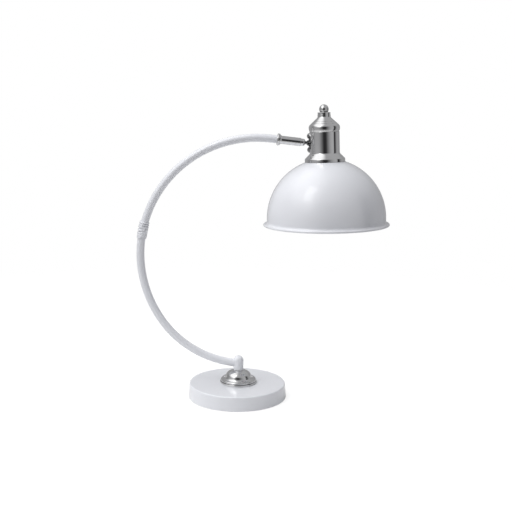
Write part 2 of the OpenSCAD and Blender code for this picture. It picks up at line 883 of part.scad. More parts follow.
// A saddle plate on the cup's side with two ears that hold the knuckle's barrel
module pivot_bracket() {
  plate_h = 2 * screw_off + screw_head_d + 0.6;
  color(bright)
    head()
      difference() {
        union() {
          intersection() {
            translate([0, 0, pivot_h - plate_h / 2])
              cylinder(r = cup_r + plate_t, h = plate_h);
            difference() {
              at_pivot()
                rotate([90, 0, 90])
                  translate([0, 0, -10])
                    linear_extrude(height = 25) {
                      for (s = [-1, 1])
                        translate([0, s * (plate_h - plate_w) / 2])
                          circle(r = plate_w / 2);
                      square([plate_w, plate_h - plate_w], center = true);
                    }
              barrel_window();
            }
          }
          for (s = [-1, 1])
            at_pivot()
              translate([0, s * (ear_gap + ear_t) / 2 + ear_t / 2, 0])
                rotate([90, 0, 0])
                  linear_extrude(height = ear_t)
                    ear_outline();
        }
        cylinder(r = cup_r + fit, h = 2 * pivot_h);
        at_pivot()
          translate([0, plate_w, 0])
            rotate([90, 0, 0])
              cylinder(r = barrel_bore_r, h = 2 * plate_w);
        for (s = [-1, 1])
          at_pivot()
            translate([-10, 0, s * screw_off])
              rotate([0, 90, 0])
                cylinder(r = screw_r + fit, h = 20);
      }
}

// Two short screws through the ears, whose plain tips are the tilt axis
module trunnion_screws() {
  color(bright)
    head()
      at_pivot()
        for (s = [-1, 1])
          rotate([s * 90, 0, 0])
            difference() {
              union() {
                translate([0, 0, ear_gap / 2 - trunnion_tip])
                  cylinder(r = trunnion_r, h = ear_t + trunnion_tip + eps);
                translate([0, 0, ear_out])
                  cylinder(r = trunnion_head_r, h = trunnion_head_t - 0.5);
                translate([0, 0, ear_out + trunnion_head_t - 0.5])
                  cylinder(r1 = trunnion_head_r, r2 = trunnion_head_r - 0.5, h = 0.5);
              }
              translate([-5, -0.4, ear_out + trunnion_head_t - 0.6])
                cube([10, 0.8, 2]);
            }
}

// Two round-head screws that hold the bracket to the cup
module bracket_screws() {
  head_r = screw_head_d / 2;
  ball = (head_r * head_r + screw_head_h * screw_head_h) / 2 / screw_head_h;
  shank = 5.2;
  color(bright)
    head()
      for (s = [-1, 1])
        translate([-cup_r - plate_t, 0, pivot_h + s * screw_off])
          rotate([0, -90, 0]) {
            translate([0, 0, -shank])
              cylinder(r = screw_r, h = shank + 0.1);
            intersection() {
              cylinder(r = head_r, h = screw_head_h + 1);
              translate([0, 0, screw_head_h - ball])
                sphere(r = ball);
            }
          }
}

module bracket_nuts() {
  nut = 2.2;
  seat = sqrt(pow(cup_r - cup_t, 2) - pow(3.2, 2)) - fit;
  color(zinc)
    head()
      for (s = [-1, 1])
        translate([-seat, 0, pivot_h + s * screw_off])
          rotate([0, 90, 0])
            difference() {
              hex_prism(5.5, nut);
              translate([0, 0, -1])
                cylinder(r = screw_r + fit, h = nut + 2);
            }
}

// Half section of the cup: foot, sloped shoulder, cove, straight side and top
module cup_section() {
  top_in = cup_top_h - cup_t;
  slope_x0 = cove_x - cove_r * slope_c;
  slope_h0 = side_h - cove_r * slope_c;
  slope_x1 = foot_r - foot_round + foot_round * slope_c;
  slope_l = (slope_x1 - slope_x0) / slope_c;
  translate([foot_r - cup_t, foot_seat_h])
    square([cup_t, foot_round_h - foot_seat_h + lap]);
  arc_band([foot_r - foot_round, foot_round_h], foot_round - cup_t, foot_round, 0, 45);
  translate([slope_x0, slope_h0])
    rotate(-45)
      translate([-lap, -cup_t])
        square([slope_l + 2 * lap, cup_t]);
  arc_band([cove_x, side_h], cove_r, cove_r + cup_t, 180, 225);
  translate([cup_r - cup_t, side_h - lap])
    square([cup_t, cup_top_h - side_h + lap]);
  translate([rod_r + 0.2, top_in])
    square([cup_r - rod_r - 0.2, cup_t]);
}

module lamp_cup() {
  color(bright)
    head()
      difference() {
        rotate_extrude()
          cup_section();
        barrel_window();
        for (s = [-1, 1])
          at_pivot()
            translate([0, 0, s * screw_off])
              rotate([0, 90, 0])
                cylinder(r = screw_r + fit, h = 8);
      }
}

// Half section of the cap: it bulges over the cup, slopes in with two turned lines,
// and rises through a cove to its neck
module cap_section() {
  low_a = asin((cap_bulge_h - fit) / cap_under);
  slope_end = [cap_cove_x - cap_cove * sin(cap_slope), cap_cove_h - cap_cove * cos(cap_slope)];
  slope_l = norm(slope_end - cap_p);
  difference() {
    union() {
      arc_band([cap_r - cap_under, cap_h], cap_under - cup_t, cap_under, -low_a, 0);
      arc_band([cap_x, cap_h], cap_round - cup_t, cap_round, 0, 90 - cap_slope);
      translate(cap_p)
        rotate(180 - cap_slope)
          translate([-lap, 0])
            square([slope_l + 2 * lap, cup_t]);
      arc_band([cap_cove_x, cap_cove_h], cap_cove, cap_cove + cup_t, 180, 270 - cap_slope);
      translate([rod_r + 0.2, cap_cove_h])
        square([cap_neck_r - rod_r - 0.2, cup_t]);
    }
    for (k = [0.12, 0.45])
      translate(cap_p + k * (slope_end - cap_p) + 0.15 * [sin(cap_slope), cos(cap_slope)])
        circle(r = 0.5);
  }
}

module cup_cap() {
  color(bright)
    head()
      rotate_extrude()
        cap_section();
}

// An open collar that the ball stands in
module finial_collar() {
  floor_t = collar_floor_t;
  lip = cap_neck_r - 0.1;
  color(bright)
    head()
      translate([0, 0, cap_top_h])
        rotate_extrude()
          polygon([[rod_r + 0.2, 0], [cap_neck_r, 0], [cap_neck_r, 0.5],
                   [lip - 0.15, 0.4 * collar_h], [lip - 0.2, 0.65 * collar_h],
                   [lip, collar_h - 0.3], [lip - 0.3, collar_h], [lip - 1.2, collar_h],
                   [lip - 1.6, floor_t], [rod_r + 0.2, floor_t]]);
}

// Ball finial with a necked foot, bored to screw onto the rod
module finial() {
  foot_h = cap_top_h + collar_floor_t;
  neck_r = 4.2;
  bore_h = rod_top_h + 0.3;
  color(bright)
    head()
      difference() {
        union() {
          translate([0, 0, ball_h])
            sphere(r = ball_r);
          translate([0, 0, foot_h])
            cylinder(r = neck_r, h = ball_h - foot_h);
          translate([0, 0, foot_h])
            cylinder(r1 = 6.4, r2 = neck_r, h = 1.4);
        }
        translate([0, 0, foot_h - 1])
          cylinder(r = rod_r + fit, h = bore_h - foot_h + 1);
      }
}

module head_rod() {
  foot_h = holder_top_h - rod_grip;
  color(zinc)
    head()
      translate([0, 0, foot_h])
        cylinder(r = rod_r, h = rod_top_h - foot_h);
}

module head_nut() {
  nut = 4.5;
  color(zinc)
    head()
      translate([0, 0, cup_top_h - cup_t - nut])
        difference() {
          hex_prism(10, nut);
          translate([0, 0, -1])
            cylinder(r = rod_r + fit, h = nut + 2);
        }
}

// Half section of the shade: rolled rim, flare, short straight wall and dome, which
// closes in past the edge of the lampholder's hole
module shade_section() {
  flare_x = shade_r + flare_arc_r;
  dome_end_a = acos(shade_hole_r / shade_r) + 4;
  translate([roll_c, roll_r])
    circle(r = roll_r);
  arc_band([flare_x, flare_h], flare_arc_r, flare_arc_r + shade_t, 180, flare_end_a);
  translate([shade_in_r, flare_h])
    square([shade_t, dome_centre_h - flare_h]);
  arc_band([0, dome_centre_h], shade_in_r, shade_r, 0, dome_end_a);
}

module shade() {
  color(white)
    head()
      difference() {
        translate([0, 0, dome_centre_h])
          rotate([0, shade_skew, 0])
            translate([0, 0, -dome_centre_h])
              rotate_extrude()
                shade_section();
        translate([0, 0, dome_centre_h])
          cylinder(r = shade_hole_r, h = 2 * shade_r);
      }
}

// A ribbed ring that screws up the lampholder and clamps the shade
module shade_ring() {
  ring_t = 4;
  ribs = 20;
  color([0.9, 0.9, 0.88])
    head()
      translate([0, 0, shade_ring_h - ring_t])
        difference() {
          cylinder(r = shade_ring_r, h = ring_t);
          translate([0, 0, -1])
            cylinder(r = holder_r + fit, h = ring_t + 2);
          for (k = [0:ribs - 1])
            rotate(360 * k / ribs)
              translate([shade_ring_r + 0.5, 0, -1])
                cylinder(r = 1.1, h = ring_t - 0.2);
        }
}

module holder_shell() {
  color([0.9, 0.9, 0.88])
    head()
      difference() {
        union() {
          translate([0, 0, holder_foot_h])
            cylinder(r = holder_r, h = holder_split_h - holder_foot_h);
          translate([0, 0, shoulder_h])
            cylinder(r = shoulder_r, h = 1.6);
        }
        translate([0, 0, holder_foot_h - 1])
          cylinder(r = holder_bore_r, h = holder_split_h);
      }
}

module holder_cap() {
  inner_h = holder_round_h - 1.2;
  boss_r = 5.5;
  color([0.9, 0.9, 0.88])
    head()
      difference() {
        union() {
          translate([0, 0, holder_split_h])
            cylinder(r = holder_r, h = holder_round_h - holder_split_h - 3);
          translate([0, 0, holder_round_h - 3])
            cylinder(r1 = holder_r, r2 = holder_r - 4, h = 4);
          translate([0, 0, holder_round_h])
            cylinder(r = boss_r, h = holder_top_h - holder_round_h);
        }
        translate([0, 0, holder_split_h - 1])
          cylinder(r = holder_r - holder_wall, h = inner_h - holder_split_h - 2);
        translate([0, 0, holder_top_h - rod_grip - 0.2])
          cylinder(r = rod_r + fit, h = rod_grip + 1);
        translate([-holder_r - 1, 0, lead_hole_h])
          rotate([0, 90, 0])
            cylinder(r = lead_off + lead_r + 0.7, h = holder_wall + 2);
      }
}

// The ceramic core that carries the bulb's contacts
module holder_core() {
  core_r = holder_bore_r - fit;
  color([0.95, 0.94, 0.9])
    head()
      difference() {
        translate([0, 0, bulb_cap_foot + 2])
          cylinder(r = core_r, h = holder_split_h - bulb_cap_foot - 2);
        translate([0, 0, bulb_cap_foot])
          cylinder(r = shell_r + fit, h = core_floor_h - bulb_cap_foot);
        translate([0, 0, core_floor_h - 1])
          cylinder(r = 1.3, h = holder_split_h);
        for (s = [-1, 1])
          translate([-4, s * 4, core_floor_h + 1])
            cylinder(r = 1.1, h = holder_split_h);
      }
}

// The screwed sleeve that grips the bulb's cap, with its rolled thread as ribs
module screw_shell() {
  foot_h = bulb_cap_foot + 2.2;
  top_h = core_floor_h - 0.1;
  color(brass)
    head()
      rotate_extrude()
        difference() {
          translate([bulb_cap_r + 0.35, foot_h])
            square([shell_r - bulb_cap_r - 0.35, top_h - foot_h]);
          for (k = [0:thread_turns - 1])
            translate([shell_r + 0.35, foot_h + 3.2 + k * thread_pitch])
              circle(r = 0.75);
        }
}

module centre_contact() {
  contact_t = 0.5;
  color(brass)
    head()
      translate([0, 0, core_floor_h - contact_t - fit]) {
        translate([-6, -1.5, 0])
          cube([9, 3, contact_t]);
        translate([0, 0, -0.6])
          cylinder(r = 1.4, h = 0.6 + eps);
      }
}

// The two wires from the knuckle through the cup's side into the lampholder's cap
module head_wires() {
  bend = 2.8;
  side_gap = 0.8; // from the wires to the holder's side
  start = 0.6;
  reach = cup_r + pivot_off - (holder_r + side_gap + lead_r) - bend;
  drop = pivot_h - lead_hole_h - 2 * bend;
  color([0.45, 0.3, 0.2])
    head()
      at_pivot() {
        translate([start, 0, 0])
          rotate([0, 90, 0])
            linear_extrude(height = reach - start)
              wire_pair();
        arm_arc([reach, -bend], bend, 0, 90)
          wire_pair();
        translate([reach + bend, 0, -bend - drop])
          linear_extrude(height = drop)
            wire_pair();
        arm_arc([reach + 2 * bend, -bend - drop], bend, 180, 270)
          wire_pair();
        translate([reach + 2 * bend - eps, 0, -2 * bend - drop])
          rotate([0, 90, 0])
            linear_extrude(height = holder_wall)
              wire_pair();
      }
}

// The bulb's screw cap, with its rolled thread
module bulb_cap() {
  color([0.8, 0.8, 0.78])
    head()
      rotate_extrude()
        difference() {
          translate([0, bulb_neck_h])
            square([bulb_cap_r, bulb_cap_top - bulb_neck_h]);
          for (k = [0:thread_turns - 1])
            translate([bulb_cap_r + 0.35, bulb_cap_foot + 4.6 + k * thread_pitch])
              circle(r = 0.8);
        }
}

module bulb_tip() {
  color([0.2, 0.2, 0.22])
    head()
      translate([0, 0, bulb_cap_top])
        cylinder(r1 = 4.6, r2 = 1.9, h = core_floor_h - 1.3 - bulb_cap_top);
}

// Half outline of the bulb's envelope, drawn inward by t: round, with a waist that
// blends into a short straight neck
module bulb_outline(t) {
  waist_h = bulb_neck_h - 1;
  rise = waist_h - bulb_h;
  blend = (rise * rise - bulb_r * bulb_r + bulb_neck_r * bulb_neck_r)
    / 2 / (bulb_r - bulb_neck_r);
  join_a = atan2(rise, bulb_neck_r + blend);
  difference() {
    union() {
      intersection() {
        translate([0, bulb_h])
          circle(r = bulb_r - t);
        translate([0, bulb_h - bulb_r])
          square(2 * bulb_r);
      }
      polygon([[0, bulb_h], (bulb_r - t) * [cos(join_a), sin(join_a)] + [0, bulb_h],
               [bulb_neck_r - t, waist_h], [bulb_neck_r - t, bulb_neck_h + t],
               [0, bulb_neck_h + t]]);
    }
    translate([bulb_neck_r + blend, waist_h])
      circle(r = blend + t);
  }
}

module bulb_section() {
  difference() {
    bulb_outline(0);
    bulb_outline(bulb_wall);
  }
}

module bulb_glass() {
  color([0.97, 0.97, 0.95])
    head()
      rotate_extrude()
        bulb_section();
}

base_pad();
base_weight();
base_cover();
cord_gland();
terminal_block();
terminal_screws();
base_nipple();
base_washer();
base_nut();
base_dome();
arm_post();
lower_arm();
upper_arm();
joint_spigot();
wrap_rings();
joint_wrap();
arm_wires();
end_ferrule();
knuckle();
pivot_bracket();
trunnion_screws();
bracket_screws();
bracket_nuts();
lamp_cup();
cup_cap();
finial_collar();
finial();
head_rod();
head_nut();
shade();
shade_ring();
holder_shell();
holder_cap();
holder_core();
screw_shell();
centre_contact();
head_wires();
bulb_cap();
bulb_tip();
bulb_glass();
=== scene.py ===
"""The looks of the desk lamp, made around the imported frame. Lengths are in metres, in the
frame's own place: +Z is up and the arm lies in the plane Y = 0, with the shade towards +X."""
import json
import math

import bmesh
import bpy
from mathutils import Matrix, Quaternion, Vector


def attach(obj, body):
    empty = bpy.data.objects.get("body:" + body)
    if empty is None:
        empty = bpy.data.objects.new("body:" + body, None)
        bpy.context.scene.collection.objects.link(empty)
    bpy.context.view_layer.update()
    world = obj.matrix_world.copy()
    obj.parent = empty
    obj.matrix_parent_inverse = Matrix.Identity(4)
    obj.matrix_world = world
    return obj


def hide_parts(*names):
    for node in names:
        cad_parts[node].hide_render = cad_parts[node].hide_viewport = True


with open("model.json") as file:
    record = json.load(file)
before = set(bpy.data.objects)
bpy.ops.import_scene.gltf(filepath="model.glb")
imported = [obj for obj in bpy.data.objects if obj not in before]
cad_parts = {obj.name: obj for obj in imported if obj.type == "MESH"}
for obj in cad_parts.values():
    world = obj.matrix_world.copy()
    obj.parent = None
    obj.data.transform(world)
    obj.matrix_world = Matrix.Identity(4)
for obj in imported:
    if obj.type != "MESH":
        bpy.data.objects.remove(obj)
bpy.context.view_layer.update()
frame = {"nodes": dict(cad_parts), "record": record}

NODES = frame["nodes"]
SCENE = bpy.context.scene

# Camera: the photograph's viewing angle
SENSOR_MM = 36.0
IMAGE_PX = 515
FOCAL_PX = 828.05
CAMERA_AT = Vector((0.06147, -1.31016, 0.45512))
CAMERA_DOWN = math.radians(9.686)
CAMERA_LEFT = math.radians(1.35)
CAMERA_ROLL = math.radians(0.74)  # its right side up
CAMERA_REACH = 50.0


def make_camera():
    data = bpy.data.cameras.new("camera")
    data.sensor_width = SENSOR_MM
    data.lens = FOCAL_PX / IMAGE_PX * SENSOR_MM
    data.clip_end = CAMERA_REACH
    camera = bpy.data.objects.new("camera", data)
    camera.location = CAMERA_AT
    level = math.cos(CAMERA_DOWN)
    ahead = Vector((-math.sin(CAMERA_LEFT) * level, math.cos(CAMERA_LEFT) * level,
                    -math.sin(CAMERA_DOWN)))
    roll = Quaternion((0.0, 0.0, 1.0), CAMERA_ROLL)
    camera.rotation_euler = (ahead.to_track_quat("-Z", "Y") @ roll).to_euler()
    SCENE.collection.objects.link(camera)
    SCENE.camera = camera


make_camera()


# Materials

def new_material(name, color, roughness, metallic=0.0, **sockets):
    """A principled material. Further sockets are named with _ for each space."""
    material = bpy.data.materials.new(name)
    material.use_nodes = True
    shader = shader_of(material)
    shader.inputs["Base Color"].default_value = (*color, 1.0)
    shader.inputs["Roughness"].default_value = roughness
    shader.inputs["Metallic"].default_value = metallic
    for socket, value in sockets.items():
        shader.inputs[socket.replace("_", " ")].default_value = value
    return material


def shader_of(material):
    return next(n for n in material.node_tree.nodes if n.type == "BSDF_PRINCIPLED")


def add_node(owner, kind, **values):
    """A node of a material or of the world, with those settings."""
    node = owner.node_tree.nodes.new(kind)
    for name, value in values.items():
        setattr(node, name, value)
    return node


def link(owner, output, socket):
    owner.node_tree.links.new(output, socket)


def mix_shaders(owner, share, first, second):
    """The first shader where share is 0 and the second where it is 1."""
    node = add_node(owner, "ShaderNodeMixShader")
    for output, socket in zip((share, first, second), node.inputs):
        link(owner, output, socket)
    return node.outputs[0]


def own_place(material, stretch=(1.0, 1.0, 1.0)):
    """The piece's own coordinates in metres, scaled along each axis."""
    place = add_node(material, "ShaderNodeTexCoord")
    mapping = add_node(material, "ShaderNodeMapping")
    mapping.inputs["Scale"].default_value = stretch
    link(material, place.outputs["Object"], mapping.inputs["Vector"])
    return mapping.outputs["Vector"]


def noise(material, per_metre, detail=3.0, stretch=(1.0, 1.0, 1.0)):
    texture = add_node(material, "ShaderNodeTexNoise")
    texture.inputs["Scale"].default_value = per_metre
    texture.inputs["Detail"].default_value = detail
    link(material, own_place(material, stretch), texture.inputs["Vector"])
    return texture.outputs[0]


NOISE_LOW, NOISE_HIGH = 0.35, 0.65  # between which most of a noise lies


def spread(owner, value, low, high, start=NOISE_LOW, end=NOISE_HIGH, interpolation="LINEAR"):
    """value between start and end, spread to run from low to high."""
    node = add_node(owner, "ShaderNodeMapRange", interpolation_type=interpolation)
    for name, number in (("From Min", start), ("From Max", end), ("To Min", low), ("To Max", high)):
        node.inputs[name].default_value = number
    link(owner, value, node.inputs["Value"])
    return node.outputs["Result"]


def vary_roughness(material, value, low, high):
    link(material, spread(material, value, low, high), shader_of(material).inputs["Roughness"])


# Sockets of a Mix node that mixes colours
SHARE, FIRST, SECOND, MIXED = 0, 6, 7, 2


def vary_color(material, value, first, second):
    mix = add_node(material, "ShaderNodeMix", data_type="RGBA")
    mix.inputs[FIRST].default_value = (*first, 1.0)
    mix.inputs[SECOND].default_value = (*second, 1.0)
    link(material, spread(material, value, 0.0, 1.0), mix.inputs[SHARE])
    link(material, mix.outputs[MIXED], shader_of(material).inputs["Base Color"])


def add_bump(material, height, depth, strength=1.0):
    """A bump of that depth in metres, on top of any bump that is there."""
    shader = shader_of(material)
    node = add_node(material, "ShaderNodeBump")
    node.inputs["Distance"].default_value = depth
    node.inputs["Strength"].default_value = strength
    link(material, height, node.inputs["Height"])
    if shader.inputs["Normal"].is_linked:
        link(material, shader.inputs["Normal"].links[0].from_socket, node.inputs["Normal"])
    link(material, node.outputs["Normal"], shader.inputs["Normal"])


def enamel():
    """Glossy stoved paint: faintly mottled, with a soft orange peel under a clear gloss."""
    material = new_material("white_enamel", (0.80, 0.81, 0.85), 0.3,
                            Coat_Weight=1.0, Coat_Roughness=0.07, Coat_IOR=1.5)
    vary_color(material, noise(material, 14.0), (0.788, 0.800, 0.840), (0.803, 0.815, 0.855))
    vary_roughness(material, noise(material, 160.0), 0.28, 0.34)
    add_bump(material, noise(material, 380.0, 1.0), 0.000008)
    return material


def bright_metal():
    """Polished nickel plate with a breath of haze. On the small joint parts their object colours
    darken it with painted shade, for the shade that falls between the joint's parts."""
    material = new_material("bright_metal", (0.68, 0.68, 0.68), 0.04, 1.0)
    vary_color(material, noise(material, 60.0), (0.66, 0.66, 0.66), (0.70, 0.70, 0.70))
    base = shader_of(material).inputs["Base Color"]
    # painted shade: each piece's object colour darkens the metal's colour
    painted_shade = add_node(material, "ShaderNodeMix", data_type="RGBA", blend_type="MULTIPLY")
    painted_shade.inputs[SHARE].default_value = 1.0
    link(material, base.links[0].from_socket, painted_shade.inputs[FIRST])
    link(material, add_node(material, "ShaderNodeObjectInfo").outputs["Color"], painted_shade.inputs[SECOND])
    link(material, painted_shade.outputs[MIXED], base)
    vary_roughness(material, noise(material, 260.0, 4.0), 0.025, 0.05)
    add_bump(material, noise(material, 500.0, 1.0), 0.000002)
    return material


def zinc_steel():
    material = new_material("zinc_steel", (0.52, 0.53, 0.55), 0.35, 1.0)
    vary_color(material, noise(material, 220.0), (0.46, 0.47, 0.49), (0.60, 0.61, 0.62))
    vary_roughness(material, noise(material, 500.0), 0.28, 0.45)
    return material


def cast_iron():
    material = new_material("cast_weight", (0.05, 0.05, 0.055), 0.7, 0.6)
    vary_color(material, noise(material, 300.0), (0.035, 0.035, 0.04), (0.09, 0.088, 0.085))
    add_bump(material, noise(material, 700.0, 6.0), 0.0003)
    return material


def foam():
    """Closed-cell foam of the pad: dark, matt and finely pitted."""
    material = new_material("foot_pad", (0.03, 0.03, 0.033), 0.9)
    vary_color(material, noise(material, 900.0), (0.022, 0.022, 0.025), (0.05, 0.05, 0.054))
    cells = add_node(material, "ShaderNodeTexVoronoi")
    cells.inputs["Scale"].default_value = 1500.0
    link(material, own_place(material), cells.inputs["Vector"])
    add_bump(material, cells.outputs["Distance"], 0.0002)
    return material


def plastic(name, color, roughness, grain):
    """Moulded plastic with the fine grain of its mould."""
    material = new_material(name, color, roughness)
    darker = tuple(c * 0.93 for c in color)
    vary_color(material, noise(material, 40.0), darker, color)
    vary_roughness(material, noise(material, 300.0), roughness * 0.85, roughness * 1.15)
    add_bump(material, noise(material, 1800.0, 2.0), grain)
    return material


def brass():
    material = new_material("brass_contact", (0.72, 0.55, 0.25), 0.25, 1.0)
    vary_color(material, noise(material, 180.0), (0.62, 0.45, 0.19), (0.78, 0.62, 0.32))
    vary_roughness(material, noise(material, 400.0), 0.18, 0.34)
    return material


def ceramic():
    material = new_material("holder_ceramic", (0.86, 0.84, 0.78), 0.55)
    vary_color(material, noise(material, 350.0), (0.80, 0.78, 0.71), (0.89, 0.87, 0.82))
    add_bump(material, noise(material, 1200.0, 4.0), 0.00005)
    return material


def cap_metal():
    """Drawn aluminium of the bulb's cap, dull along its thread."""
    material = new_material("cap_metal", (0.70, 0.70, 0.69), 0.3, 1.0)
    vary_color(material, noise(material, 120.0), (0.60, 0.60, 0.58), (0.76, 0.76, 0.75))
    vary_roughness(material, noise(material, 450.0), 0.24, 0.4)
    return material


def black_glass():
    material = new_material("black_glass", (0.012, 0.012, 0.016), 0.15)
    vary_roughness(material, noise(material, 500.0), 0.1, 0.22)
    return material


def opal_glass():
    """White frosted glass, a little translucent, with a satin surface."""
    material = new_material("frosted_glass", (0.88, 0.88, 0.86), 0.35,
                            Subsurface_Weight=0.35, Subsurface_Scale=0.004)
    vary_color(material, noise(material, 30.0), (0.85, 0.85, 0.82), (0.90, 0.90, 0.885))
    vary_roughness(material, noise(material, 600.0), 0.3, 0.42)
    return material


MATERIALS = {
    "white_enamel": enamel(),
    "bright_metal": bright_metal(),
    "zinc_steel": zinc_steel(),
    "cast_weight": cast_iron(),
    "foot_pad": foam(),
    "white_plastic": plastic("white_plastic", (0.78, 0.78, 0.75), 0.35, 0.00002),
    "block_plastic": plastic("block_plastic", (0.72, 0.71, 0.64), 0.5, 0.00003),
    "brass_contact": brass(),
    "holder_ceramic": ceramic(),
    "wire_cover": plastic("wire_cover", (0.22, 0.11, 0.05), 0.45, 0.00002),
    "cap_metal": cap_metal(),
    "black_glass": black_glass(),
    "frosted_glass": opal_glass(),
}


# Painted shade: how far the object colour darkens each small joint part, for the shade between the
# joint's parts
PAINTED_SHADE_PARTS = {"knuckle": 0.3, "trunnion_screws": 0.4, "bracket_screws": 0.5,
             "pivot_bracket": 0.8}


def dress_frame():
    """Gives each CAD node the material of its slot, with painted shade on the joint's small parts.
    """
    for part in frame["record"]["subparts"]:
        node = NODES[part["node"]]
        node.data.materials.clear()
        node.data.materials.append(MATERIALS[part["material_slot"]])
        painted_shade = PAINTED_SHADE_PARTS.get(part["node"], 1.0)
        node.color = (painted_shade, painted_shade, painted_shade, 1.0)


dress_frame()


# Pieces

def add_piece(name, shape, slot, body, stands_for=()):
    """Makes a piece of a bmesh, gives it its slot's material and lets it ride on a body."""
    mesh = bpy.data.meshes.new(name)
    bmesh.ops.recalc_face_normals(shape, faces=shape.faces)
    shape.to_mesh(mesh)
    shape.free()
    mesh.shade_smooth()
    mesh.materials.append(MATERIALS[slot])
    piece = bpy.data.objects.new(name, mesh)
    SCENE.collection.objects.link(piece)
    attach(piece, body)
    if stands_for:
        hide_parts(*stands_for)
    return piece


# The arm's wrap
ARM_BEND_R = 0.1885  # of the arm's long arc
ARM_TUBE_R = 0.00625
STRAP_T = 0.0019
STRAP_STEPS = 24  # to half a turn
STRAP_SIDES = 14
STRAP_FACE = 0.8  # power of the cosine in the strap's section, flatter as it falls
STRAP_EDGE = 0.6  # power of the sine

# The loops from the lower ring up: on the arm's left and right side the height of each loop's
# middle over the ring and its width. Where they leave more than their widths, the wrap gapes.
LEFT_TURN = math.radians(25)
RIGHT_TURN = math.radians(155)
STRAP_LOOPS = (
    ((0.0029, 0.0047), (0.0034, 0.0048)),
    ((0.0068, 0.0045), (0.0085, 0.0056)),
    ((0.0122, 0.0038), (0.0134, 0.0044)),
    ((0.0173, 0.0036), (0.0176, 0.0038)),
    ((0.0206, 0.0038), (0.0220, 0.0017)),
    ((0.0239, 0.0030), (0.0249, 0.0012)),
)
TAIL_FROM = (math.radians(50), 0.0222)  # the strap's end that crosses over the loops
TAIL_TO = (math.radians(165), 0.0095)
TAIL_W = 0.0026
TAIL_T = 0.0012
TAIL_RISE = 0.3  # power of the sine along the tail, steeper at its ends as it falls


def wrap_frame():
    """The middle of the wrap on the arm's centre line, the direction up the arm there,
    the direction away from the bend's centre and the span between the two end rings."""
    points = [v.co for v in NODES["wrap_rings"].data.vertices]
    middle_z = sum(p.z for p in points) / len(points)
    ends = []
    for group in ([p for p in points if p.z < middle_z], [p for p in points if p.z > middle_z]):
        ends.append(sum(group, Vector()) / len(group))
    up = (ends[1] - ends[0]).normalized()
    out = Vector((-up.z, 0.0, up.x))
    span = (ends[1] - ends[0]).length
    sag = ARM_BEND_R - math.sqrt(ARM_BEND_R ** 2 - span ** 2 / 4)
    return (ends[0] + ends[1]) / 2 + out * sag, up, out, span


WRAP_MIDDLE, WRAP_UP, WRAP_OUT, WRAP_SPAN = wrap_frame()
BEND_CENTRE = WRAP_MIDDLE - WRAP_OUT * ARM_BEND_R


def round_arm(along, turn, radius):
    """A point at a distance along the arm from the lower ring, at an angle round the arm
    from the outer side of its bend towards the viewer, and its outward direction."""
    bend = (along - WRAP_SPAN / 2) / ARM_BEND_R
    out = WRAP_OUT * math.cos(bend) + WRAP_UP * math.sin(bend)
    centre = BEND_CENTRE + out * ARM_BEND_R
    outward = out * math.cos(turn) - Vector((0.0, 1.0, 0.0)) * math.sin(turn)
    return centre + outward * radius, outward


def strap_along(shape, path):
    """A strap of rounded flat section along a path of (point, outward, width, thickness),
    closed at its ends."""
    rings = []
    for i, (point, outward, width, thickness) in enumerate(path):
        ahead = (path[min(i + 1, len(path) - 1)][0] - path[max(i - 1, 0)][0]).normalized()
        outward = (outward - ahead * outward.dot(ahead)).normalized()
        side = ahead.cross(outward)
        ring = []
        for k in range(STRAP_SIDES):
            a = 2 * math.pi * (k + 0.5) / STRAP_SIDES
            flat = math.copysign(abs(math.cos(a)) ** STRAP_FACE, math.cos(a))
            across = math.copysign(abs(math.sin(a)) ** STRAP_EDGE, math.sin(a))
            ring.append(shape.verts.new(
                point + outward * flat * thickness / 2 + side * across * width / 2))
        rings.append(ring)
    for first, second in zip(rings, rings[1:]):
        for k in range(STRAP_SIDES):
            j = (k + 1) % STRAP_SIDES
            shape.faces.new((first[k], first[j], second[j], second[k]))
    shape.faces.new(rings[0])
    shape.faces.new(rings[-1])


def between(first, second, share):
    """Two numbers of each, eased from the first pair to the second."""
    ease = 0.5 - 0.5 * math.cos(math.pi * share)
    return [a + (b - a) * ease for a, b in zip(first, second)]


def arm_wrap():
    """The painted strap wound over the joint: leaning loops that gape in places, and the
    strap's end, which crosses over them on the viewer's side."""
    shape = bmesh.new()
    radius = ARM_TUBE_R + STRAP_T / 2
    stops = []
    for loop, (left, right) in enumerate(STRAP_LOOPS):
        stops.append((2 * math.pi * loop + LEFT_TURN, left))
        stops.append((2 * math.pi * loop + RIGHT_TURN, right))
    path = []
    for (turn, size), (next_turn, next_size) in zip(stops, stops[1:]):
        for i in range(STRAP_STEPS):
            share = i / STRAP_STEPS
            along, width = between(size, next_size, share)
            point, outward = round_arm(along, turn + (next_turn - turn) * share, radius)
            path.append((point, outward, width, STRAP_T))
    strap_along(shape, path)
    tail = []
    for i in range(STRAP_STEPS + 1):
        share = i / STRAP_STEPS
        turn = TAIL_FROM[0] + (TAIL_TO[0] - TAIL_FROM[0]) * share
        along = TAIL_FROM[1] + (TAIL_TO[1] - TAIL_FROM[1]) * share
        over = radius + STRAP_T / 2 * math.sin(math.pi * share) ** TAIL_RISE - TAIL_T / 4
        tail.append((*round_arm(along, turn, over), TAIL_W, TAIL_T))
    strap_along(shape, tail)
    return add_piece("arm_wrap", shape, "white_enamel", "stand", ("joint_wrap",))


arm_wrap()


# Stage and light
FLOOR_R = 1.6
FLOOR_SIDES = 96
FLOOR_FADE = (0.35, 1.2)  # radii between which the floor fades into the white round it
FLOOR_SEEN = 0.3  # the shade of grey that the camera sees on it
WHITE_SEEN = 0.8  # and the share of the white behind that shows through for the camera
FLOOR_LIGHT = 0.74  # the shade of grey that lights the lamp
KEY_FROM = Vector((-0.455, -0.455, 0.766))  # towards the key light, as the highlights show
LAMP_MIDDLE = Vector((0.04, 0.0, 0.24))


def grey_shader(material, kind, grey=1.0):
    node = add_node(material, kind)
    node.inputs["Color"].default_value = (grey, grey, grey, 1.0)
    return node.outputs[0]


